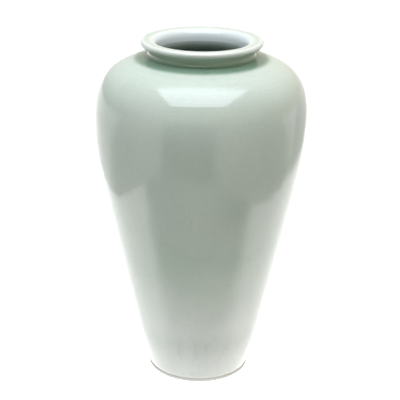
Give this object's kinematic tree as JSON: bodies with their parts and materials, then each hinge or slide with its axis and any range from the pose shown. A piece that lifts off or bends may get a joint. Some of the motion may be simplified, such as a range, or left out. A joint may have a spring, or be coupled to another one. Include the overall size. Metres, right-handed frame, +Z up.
{
  "type": "porcelain vase",
  "caption": "Tall glazed vase with a narrow foot, a wall leaning out to a high rounded shoulder, a short neck and a flared rolled lip.",
  "frame": {"origin": "centre of the foot, on the surface that the vase stands on", "axes": "+Z up, along the axis that the vase is turned about; the vase is the same all round"},
  "size_m": [0.2126, 0.2126, 0.35],
  "materials": {
    "bare_porcelain": "matt, bare fired porcelain",
    "porcelain_body": "matt fired porcelain, under the glaze",
    "celadon_outside": "high gloss pale celadon with a fine crackle",
    "celadon_inside": "gloss celadon",
    "celadon_base": "gloss celadon"
  },
  "bodies": {
    "root": {"foot_ring": "bare_porcelain", "lower_body": "porcelain_body", "upper_body": "porcelain_body", "neck_collar": "porcelain_body", "lip": "porcelain_body", "outer_glaze": "celadon_outside", "inner_glaze": "celadon_inside", "base_glaze": "celadon_base"}
  },
  "joints": []
}
